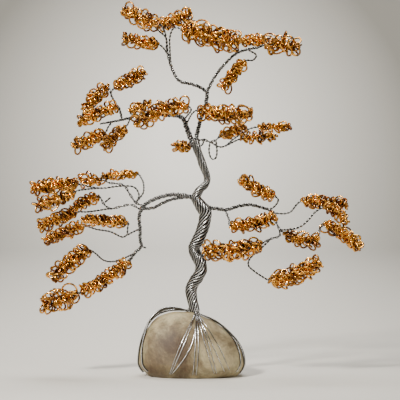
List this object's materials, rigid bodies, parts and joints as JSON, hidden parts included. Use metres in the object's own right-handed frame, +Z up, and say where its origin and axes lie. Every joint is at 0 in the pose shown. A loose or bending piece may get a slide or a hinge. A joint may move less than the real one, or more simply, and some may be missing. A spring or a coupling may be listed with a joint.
{
  "type": "wire tree sculpture",
  "caption": "Small ornamental tree of twisted silver wire with leaves of coiled copper wire, rooted over a river stone.",
  "frame": {"origin": "on the table, under the middle of the stone, where the stone rests", "axes": "+Z up the tree, +X to the viewer's right across the wide side, +Y away from the viewer"},
  "size_m": [0.265, 0.0729, 0.2962],
  "materials": {
    "stone": "river-worn quartz-like stone, cream with pink-brown mottling, matt",
    "silver_wire": "bright bare silver-coloured craft wire",
    "copper_wire": "glossy enamelled copper wire, orange to gold"
  },
  "bodies": {
    "root": {"coil_crown_front": "copper_wire", "coil_crown_hanging": "copper_wire", "coil_crown_left": "copper_wire", "coil_crown_right": "copper_wire", "coil_crown_right_tip": "copper_wire", "coil_crown_tip": "copper_wire", "coil_crown_top": "copper_wire", "coil_left_low_inner": "copper_wire", "coil_left_low_tip": "copper_wire", "coil_left_low_top": "copper_wire", "coil_left_middle_inner": "copper_wire", "coil_left_middle_low": "copper_wire", "coil_left_middle_tip": "copper_wire", "coil_left_middle_top": "copper_wire", "coil_left_top_back": "copper_wire", "coil_left_top_inner": "copper_wire", "coil_left_top_low": "copper_wire", "coil_left_top_tip": "copper_wire", "coil_middle_back": "copper_wire", "coil_middle_left_back": "copper_wire", "coil_middle_left_front": "copper_wire", "coil_middle_left_inner": "copper_wire", "coil_middle_left_low": "copper_wire", "coil_middle_left_outer": "copper_wire", "coil_middle_left_shoulder": "copper_wire", "coil_middle_left_top": "copper_wire", "coil_middle_right_back": "copper_wire", "coil_middle_right_front": "copper_wire", "coil_middle_right_inner": "copper_wire", "coil_middle_right_low": "copper_wire", "coil_right_front_low": "copper_wire", "coil_right_front_top": "copper_wire", "coil_right_low": "copper_wire", "coil_right_middle": "copper_wire", "coil_right_tip_front": "copper_wire", "coil_right_tip_low": "copper_wire", "coil_right_tip_top": "copper_wire", "coil_right_top": "copper_wire", "crown_left_limb": "silver_wire", "crown_right_limb": "silver_wire", "crown_stem": "silver_wire", "left_drop_limb": "silver_wire", "left_limb": "silver_wire", "left_middle_limb": "silver_wire", "left_upper_limb": "silver_wire", "middle_left_limb": "silver_wire", "middle_right_limb": "silver_wire", "right_front_limb": "silver_wire", "right_limb": "silver_wire", "right_low_limb": "silver_wire", "right_outer_limb": "silver_wire", "root_wires_back": "silver_wire", "root_wires_front": "silver_wire", "root_wires_left": "silver_wire", "root_wires_right": "silver_wire", "stone": "stone", "trunk": "silver_wire"}
  },
  "joints": []
}
